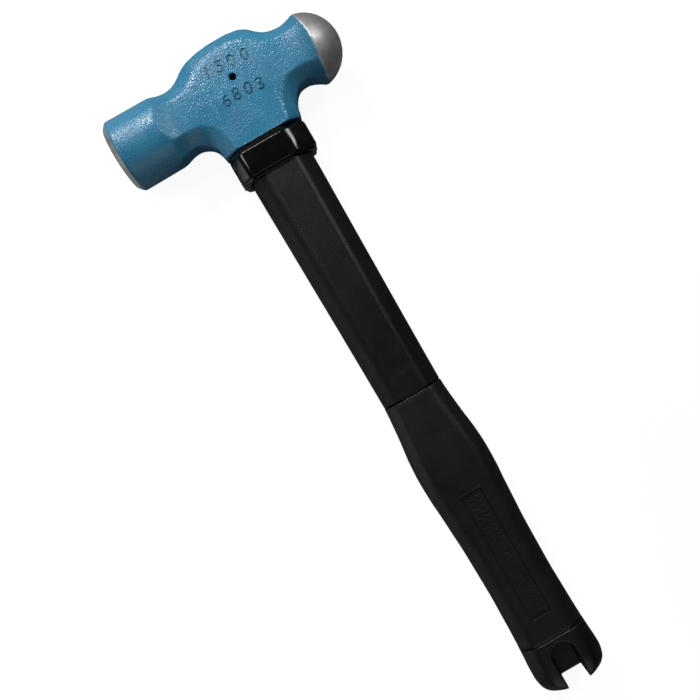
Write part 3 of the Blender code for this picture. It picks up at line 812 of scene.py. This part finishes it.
class HAMMER_OT_mould_collar(bpy.types.Operator):
    """Mould the glossy collar round the top of the sleeve"""
    bl_idname = "hammer.mould_collar"
    bl_label = "Mould Collar"

    def execute(self, context):
        half_width = (collar_high.y - collar_low.y) / 2
        half_thickness = (collar_high.z - collar_low.z) / 2
        stations = [(collar_low.x + d * MM, side, front) for d, side, front in COLLAR_SHOULDER]
        stations += [(collar_high.x - d * MM, side, front) for d, side, front in COLLAR_LIP]
        rings = []
        for x, side, front in stations:
            corners = octagon(
                half_width - side * MM, half_thickness - front * MM, COLLAR_BEVEL, COLLAR_BALL_SIDE_BEVEL
            )
            section = rounded(corners, COLLAR_CORNERS, 14)
            rings.append(at(x, section))
        collar = sweep("neck_collar", rings)
        cut(collar, bar(
            "bore", collar_low.x - 3 * MM, collar_high.x + 3 * MM,
            2 * spline(SLEEVE_HALF_WIDTH, collar_low.x) + 0.5 * MM, 24.3 * MM, SLEEVE_BEVEL, 1.9 * MM,
        ))
        smooth(collar, 40)
        give(collar, gloss_finish(context.scene.hammer_colours))
        finish_piece(collar, "gloss_black", "collar")
        return {"FINISHED"}


# --- handle ---------------------------------------------------------------------------------------------

SLEEVE_BEVEL = 7.2 * MM
# corner radii in the order `octagon` gives them: crisper towards the ball, nearly round towards the poll
SLEEVE_CORNERS = [radius * MM for radius in (4.0, 5.5, 10.5, 10.5, 10.5, 10.5, 5.5, 4.0)]
# (distance from the end, inset) in millimetres, for the rounded edge at each seam
SLEEVE_END = ((0.6, 0.0), (0.35, 0.06), (0.12, 0.2), (0, 0.4))
GRIP_START = ((0, 0.3), (0.08, 0.14), (0.22, 0.04), (0.45, 0))
GRIP_END = ((0.5, 0), (0.25, 0.08), (0.1, 0.2), (0, 0.4))
BUTT_START = ((0, 0.25), (0.08, 0.12), (0.2, 0.04), (0.4, 0))
# The shallow flat on the sleeve's front and back
FLAT_END, FLAT_WIDTH = 4.7 * MM, 12.6 * MM
FLAT_DEPTH, FLAT_FLARE = 0.2 * MM, 1.1 * MM


def flat_panel_cutter(name, side, x_start, x_end, width, depth, surface, flare=0.25 * MM):
    """A shallow cutter whose floor follows the surface at a set depth, with sloped walls."""
    rings = []
    places = [(x, 1.0) for x in evenly(x_start, x_end, 3 * MM)]
    for x, down in [(x_start - flare, 0.0), *places, (x_end + flare, 0.0)]:
        top = surface(x)
        floor = top - depth * down + (1 - down) * 0.01 * MM
        half = width / 2
        outline = [
            (-half - 2 * flare, top + 2 * MM), (-half - flare, top), (-half, floor),
            (half, floor), (half + flare, top), (half + 2 * flare, top + 2 * MM),
        ]
        rings.append(at(x, [(y, side * z) for y, z in outline]))
    return sweep(name, rings)


class HAMMER_OT_mould_sleeve(bpy.types.Operator):
    """Mould the upper sleeve of the handle"""
    bl_idname = "hammer.mould_sleeve"
    bl_label = "Mould Sleeve"

    def execute(self, context):
        half_thickness = (sleeve_high.z - sleeve_low.z) / 2
        stations = [(x, 0.0) for x in evenly(sleeve_low.x, sleeve_high.x - 1 * MM, 3 * MM)]
        stations += [(sleeve_high.x - d * MM, inset * MM) for d, inset in SLEEVE_END]
        rings = []
        for x, inset in stations:
            corners = octagon(spline(SLEEVE_HALF_WIDTH, x) - inset, half_thickness - inset, SLEEVE_BEVEL)
            rings.append(at(x, rounded(corners, SLEEVE_CORNERS, 8)))
        sleeve = sweep("upper_sleeve", rings)
        for side in (1, -1):
            cut(sleeve, flat_panel_cutter(
                "flat", side, collar_high.x - 6 * MM, FLAT_END, FLAT_WIDTH, FLAT_DEPTH,
                lambda x: half_thickness, FLAT_FLARE,
            ))
        smooth(sleeve, 25)
        colours = context.scene.hammer_colours
        give(sleeve, moulded_finish("sleeve_plastic", tuple(colours.handle), 0.44, 0.00008, 0.35))
        finish_piece(sleeve, "moulded_black", "handle_sleeve")
        return {"FINISHED"}


GRIP_BEVEL = 5.9 * MM
GRIP_CORNER = 6.4 * MM
PANEL_START = 66.5 * MM
PANEL_END = 130 * MM
PANEL_WIDTH = 9.6 * MM
PANEL_SPLIT = 92 * MM


def grip_half_thickness(x):
    return spline(GRIP_HALF_THICKNESS, x)


def grip_ring(x, inset=0.0, thickness_share=1.0, bevel=GRIP_BEVEL, corner=GRIP_CORNER):
    half_width = spline(GRIP_HALF_WIDTH, x) - inset
    half_thickness = grip_half_thickness(x) - thickness_share * inset
    return at(x, rounded_octagon(half_width, half_thickness, bevel, corner, 8))


def panel_relief(side, sizes):
    """Two rows of short slanted ribs to raise from the panel's floor, and the lip across its head end."""
    bpy.ops.object.select_all(action="DESELECT")
    pieces = [(PANEL_START - 0.3 * MM, 0.0, 0.75 * MM, PANEL_WIDTH + 1.2 * MM, sizes.panel_depth + 0.3 * MM, 0)]
    for number, x in enumerate(evenly(PANEL_START + 3.4 * MM, PANEL_END - 3 * MM, 2.35 * MM)):
        rows = (2.1 * MM, -2.1 * MM) if x < PANEL_SPLIT else (0.9 * MM,)
        for row in rows:
            pieces.append((x, row, 0.75 * MM, 3.1 * MM, sizes.rib_height, 22 if number % 2 else -22))
    parts = []
    for x, y, length, width, height, turn in pieces:
        floor = grip_half_thickness(x) - sizes.panel_depth
        bpy.ops.mesh.primitive_cube_add(size=1)
        part = bpy.context.object
        part.data.transform(
            Matrix.Translation((x, AXIS_Y + y, MID_Z + side * (floor + height / 2 - 0.2 * MM)))
            @ Matrix.Rotation(math.radians(turn), 4, "Z")
            @ Matrix.Diagonal((length, width, height + 0.4 * MM, 1))
        )
        parts.append(part)
    for part in parts:
        part.select_set(True)
    bpy.ops.object.join()
    relief = bpy.context.object
    apply_modifier(relief, "BEVEL", width=0.17 * MM, segments=2)
    return relief


class HAMMER_OT_mould_grip(bpy.types.Operator):
    """Mould the swelling grip with its two ribbed panels"""
    bl_idname = "hammer.mould_grip"
    bl_label = "Mould Grip"

    def execute(self, context):
        sizes = context.scene.hammer_sizes
        low, high = grip_low.x, grip_high.x
        rings = [grip_ring(low + d * MM, inset * MM) for d, inset in GRIP_START]
        rings += [grip_ring(x) for x in evenly(low + 2.5 * MM, high - 2 * MM, 2.2 * MM)]
        rings += [grip_ring(high - d * MM, inset * MM) for d, inset in GRIP_END]
        grip = sweep("lower_grip", rings)
        for side in (1, -1):
            cut(grip, flat_panel_cutter(
                "panel", side, PANEL_START, PANEL_END, PANEL_WIDTH, sizes.panel_depth, grip_half_thickness
            ))
            cut(grip, panel_relief(side, sizes), "UNION")
        smooth(grip, 30)
        give(grip, moulded_finish("grip_rubber", tuple(context.scene.hammer_colours.handle), 0.46, 0.00009))
        finish_piece(grip, "moulded_black", "grip")
        return {"FINISHED"}


SLOT_START = 144.4 * MM
WEB_HALF = 2.5 * MM
# (distance outside the cap's surface, widening) in millimetres, for the slot's flared mouth
SLOT_MOUTH = ((-1.3, 0), (-0.7, 0.12), (-0.2, 0.45), (3, 2.2))


def slot_cutter(name, side, width):
    """A slot open at the butt, rounded towards the head, whose mouth flares at the surface."""
    half = width / 2
    centre = SLOT_START + half
    surface = grip_half_thickness(150 * MM)
    levels = [(WEB_HALF, 0), *((surface + above * MM, grow * MM) for above, grow in SLOT_MOUTH)]
    rings = []
    for height, grow in levels:
        outline = [(butt_high.x + 5 * MM, half + grow)]
        for k in range(25):
            angle = math.pi / 2 + math.pi * k / 24
            outline.append((centre + (half + grow) * math.cos(angle), (half + grow) * math.sin(angle)))
        outline.append((butt_high.x + 5 * MM, -half - grow))
        rings.append([(x, AXIS_Y + y, MID_Z + side * height) for x, y in outline])
    return sweep(name, rings)


class HAMMER_OT_mould_butt(bpy.types.Operator):
    """Mould the slotted butt cap"""
    bl_idname = "hammer.mould_butt"
    bl_label = "Mould Butt Cap"

    def execute(self, context):
        sizes = context.scene.hammer_sizes
        start = grip_high.x + 0.3 * MM
        rings = [grip_ring(start + d * MM, inset * MM) for d, inset in BUTT_START]
        rings += [grip_ring(x) for x in evenly(start + 1.5 * MM, BUTT_END[0][0] - 1 * MM, 1.5 * MM)]
        for x, inset in BUTT_END:
            share = inset / BUTT_END[-1][1]
            rings.append(grip_ring(
                x, inset, 0.62, GRIP_BEVEL - 2.3 * MM * share, GRIP_CORNER - 2.6 * MM * share
            ))
        cap = sweep("butt_end", rings)
        for side in (1, -1):
            cut(cap, slot_cutter("slot", side, sizes.slot_width))
        cut(cap, bar("notch", web_end, butt_high.x + 5 * MM, sizes.slot_width, 12 * MM, 0.2 * MM, 0.05 * MM))
        apply_modifier(cap, "REMESH", mode="VOXEL", voxel_size=0.36 * MM)
        apply_modifier(cap, "SMOOTH", factor=0.5, iterations=5)
        smooth(cap)
        give(cap, moulded_finish("butt_rubber", tuple(context.scene.hammer_colours.handle), 0.4, 0.00006))
        finish_piece(cap, "moulded_black", "butt_cap")
        return {"FINISHED"}


class HAMMER_OT_finish_core(bpy.types.Operator):
    """Give the eye filler and the core's spacers their moulded finish"""
    bl_idname = "hammer.finish_core"
    bl_label = "Finish Core"

    def execute(self, context):
        plastic = moulded_finish("core_plastic", tuple(context.scene.hammer_colours.handle), 0.5, 0.00008)
        for name in ("eye_filler", "core_spacer_head", "core_spacer_middle", "core_spacer_butt"):
            give(frame["nodes"][name], plastic)
        return {"FINISHED"}


# --- stage ----------------------------------------------------------------------------------------------

# (name, subject, direction from it, distance, size, power)
STUDIO_LIGHTS = (
    ("head_side", "head", (-0.742, -0.087, 0.663), 0.6, 0.2, 2.7),
    ("ball_side", "collar", (-0.25, 0.66, 0.7), 0.8, 0.24, 1.8),
    ("poll_side", "collar", (-0.28, -0.48, 0.83), 0.8, 0.2, 0.65),
    ("butt_side", "collar", (0.85, -0.1, 0.42), 0.9, 0.5, 0.6),
)


def pale_floor(colour):
    """A floor that looks evenly pale, and throws little light back on the hammer."""
    finish = Finish("pale_floor", 1.0)
    tree = finish.tree
    finish.shader.inputs["Specular IOR Level"].default_value = 0.0
    parts = tree.nodes.new("ShaderNodeSeparateXYZ")
    finish.link(finish.place, parts.inputs[0])
    shade = finish.ramp(parts.outputs["Y"], -0.15, 0.1, 0.4, 0.12)
    finish.link(shade, finish.shader.inputs["Base Color"])
    finish.shader.inputs["Emission Color"].default_value = (*colour[:3], 1.0)
    seen = tree.nodes.new("ShaderNodeLightPath").outputs["Is Camera Ray"]
    finish.link(finish.ramp(seen, 0.0, 1.0, 0.0, 1.0), finish.shader.inputs["Emission Strength"])
    return finish.material


def studio_world():
    """A dim studio, lighter above the head and low down on the poll's side, and pale where it is seen."""
    world = bpy.data.worlds.new("studio")
    world.use_nodes = True
    tree = world.node_tree
    nodes, links = tree.nodes, tree.links
    parts = nodes.new("ShaderNodeSeparateXYZ")
    links.new(nodes.new("ShaderNodeTexCoord").outputs["Generated"], parts.inputs[0])

    def combine(kind, one, two):
        node = nodes.new("ShaderNodeMath")
        node.operation = kind
        links.new(one, node.inputs[0])
        links.new(two, node.inputs[1])
        return node.outputs[0]

    above = ramp(tree, parts.outputs["X"], -0.8, 0.3, 0.11, 0.02)
    poll_side = ramp(tree, parts.outputs["Y"], -1.0, -0.93, 1.4, 0.0)
    light = combine("ADD", above, poll_side)
    seen = nodes.new("ShaderNodeLightPath").outputs["Is Camera Ray"]
    light = combine("MAXIMUM", light, seen)
    background = nodes["Background"]
    background.inputs["Color"].default_value = (1, 1, 1, 1)
    links.new(light, background.inputs["Strength"])
    return world


CAMERA_PLACE = (-14.8 * MM, -9.7 * MM, MID_Z + 400.7 * MM)
CAMERA_TURN = math.radians(59.88)


class HAMMER_OT_set_stage(bpy.types.Operator):
    """Lay the floor, and place the lights and the camera"""
    bl_idname = "hammer.set_stage"
    bl_label = "Set Stage"

    def execute(self, context):
        colours = context.scene.hammer_colours
        bpy.ops.object.select_all(action="DESELECT")
        bpy.ops.mesh.primitive_plane_add(size=6, location=(0, 0, -0.2 * MM))
        floor = context.object
        floor.name = "floor"
        give(floor, pale_floor(tuple(colours.floor)))
        head = Vector((HEAD_X, AXIS_Y, MID_Z))
        collar = Vector((collar_low.x, AXIS_Y, MID_Z))
        for name, subject, towards, distance, size, power in STUDIO_LIGHTS:
            aim = head if subject == "head" else collar
            self.area_light(name, aim + Vector(towards) * distance, aim, size, power)
        context.scene.world = studio_world()
        context.scene.view_settings.view_transform = "Standard"
        bpy.ops.object.camera_add(location=CAMERA_PLACE, rotation=(0, 0, CAMERA_TURN))
        camera = context.object
        camera.data.lens = 45
        camera.data.sensor_width = 36
        camera.data.clip_start = 0.01
        context.scene.camera = camera
        return {"FINISHED"}

    def area_light(self, name, place, aim, size, power):
        bpy.ops.object.light_add(type="AREA", location=place)
        light = bpy.context.object
        light.name = name
        light.rotation_euler = (aim - place).to_track_quat("-Z", "Y").to_euler()
        light.data.size = size
        light.data.energy = power


# --- add-on ---------------------------------------------------------------------------------------------

BUILD_STEPS = (
    "forge_head", "fit_eye", "mould_collar", "mould_sleeve", "mould_grip", "mould_butt", "finish_core",
    "set_stage",
)


class HAMMER_PT_steps(bpy.types.Panel):
    """The steps that make the hammer"""
    bl_label = "Hammer"
    bl_space_type = "VIEW_3D"
    bl_region_type = "UI"
    bl_category = "Hammer"

    def draw(self, context):
        for group in (context.scene.hammer_sizes, context.scene.hammer_colours):
            for name in group.__annotations__:
                self.layout.prop(group, name)
        for step in BUILD_STEPS:
            self.layout.operator(f"hammer.{step}")


CLASSES = (
    HammerSizes, HammerColours, HAMMER_OT_forge_head, HAMMER_OT_fit_eye, HAMMER_OT_mould_collar,
    HAMMER_OT_mould_sleeve, HAMMER_OT_mould_grip, HAMMER_OT_mould_butt, HAMMER_OT_finish_core,
    HAMMER_OT_set_stage, HAMMER_PT_steps,
)


def register():
    for cls in CLASSES:
        bpy.utils.register_class(cls)
    bpy.types.Scene.hammer_sizes = bpy.props.PointerProperty(type=HammerSizes)
    bpy.types.Scene.hammer_colours = bpy.props.PointerProperty(type=HammerColours)


def unregister():
    del bpy.types.Scene.hammer_sizes
    del bpy.types.Scene.hammer_colours
    for cls in reversed(CLASSES):
        bpy.utils.unregister_class(cls)


def main():
    register()
    for step in BUILD_STEPS:
        getattr(bpy.ops.hammer, step)()


if __name__ == "__main__":
    main()
